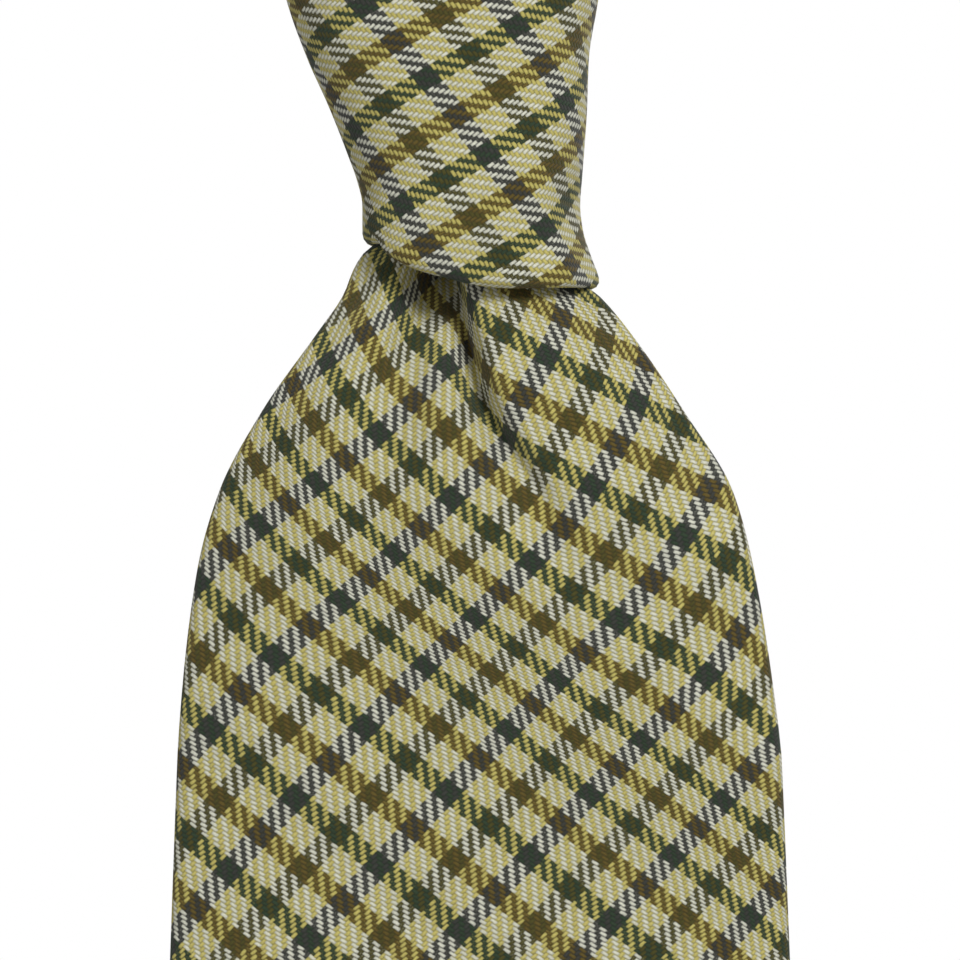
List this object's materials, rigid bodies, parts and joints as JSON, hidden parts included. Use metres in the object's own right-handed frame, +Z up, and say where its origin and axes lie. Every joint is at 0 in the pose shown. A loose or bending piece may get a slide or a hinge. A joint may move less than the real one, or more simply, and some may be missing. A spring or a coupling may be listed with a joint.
{
  "type": "necktie",
  "caption": "Wool check necktie in a four-in-hand knot: neck loop, sliding knot, front blade hanging to a point, and tail behind it.",
  "frame": {"origin": "middle of the neck opening, where the wearer's neck passes through", "axes": "+Z up along the neck and along the hanging tie, face of the tie looks along -Y, +X to the right of someone facing the wearer"},
  "size_m": [0.1232, 0.1478, 0.5574],
  "materials": {
    "wool_check": "brushed worsted twill, gun-club check on the bias",
    "interlining": "napped wool and cotton interlining",
    "tipping_silk": "satin-faced lining silk",
    "sewing_thread": "matt sewing thread",
    "label_satin": "woven satin ribbon, blank"
  },
  "bodies": {
    "neck_loop": {"neck_piece_shell": "wool_check", "neck_piece_interlining": "interlining", "left_strand_shell": "wool_check", "left_strand_interlining": "interlining", "right_strand_shell": "wool_check", "right_strand_interlining": "interlining", "piecing_seams": "sewing_thread", "neck_slip_stitch": "sewing_thread"},
    "knot": {"knot_front_wrap": "wool_check", "knot_inner_wrap": "wool_check", "knot_back_pass": "wool_check", "knot_throat": "wool_check"},
    "front_blade": {"blade_shell": "wool_check", "blade_interlining": "interlining", "blade_tipping": "tipping_silk", "blade_slip_stitch": "sewing_thread", "blade_bar_tack": "sewing_thread", "keeper_loop": "wool_check", "keeper_stitches": "sewing_thread", "blank_label": "label_satin", "label_stitches": "sewing_thread"},
    "tail": {"tail_upper_shell": "wool_check", "tail_upper_interlining": "interlining"},
    "tail_lower": {"tail_shell": "wool_check", "tail_interlining": "interlining", "tail_tipping": "tipping_silk", "tail_slip_stitch": "sewing_thread", "tail_bar_tack": "sewing_thread", "care_label": "label_satin"}
  },
  "joints": [
    {"name": "knot_slide", "type": "slide", "parent": "neck_loop", "child": "knot", "axis": [0, 0, -1], "range_m": [0, 0.015]},
    {"name": "blade_swing", "type": "hinge", "parent": "knot", "child": "front_blade", "pos_m": [0, -0.077, -0.083], "axis": [-1, 0, 0], "range_deg": [0, 60]},
    {"name": "tail_feed", "type": "slide", "parent": "knot", "child": "tail", "axis": [0, 0, 1], "range_m": [0, 0.03]},
    {"name": "tail_swing", "type": "hinge", "parent": "tail", "child": "tail_lower", "pos_m": [0, -0.0612, -0.125], "axis": [1, 0, 0], "range_deg": [0, 45]}
  ],
  "couplings": [
    {"joint": "tail_feed", "follows": "knot_slide", "ratio": 2}
  ]
}
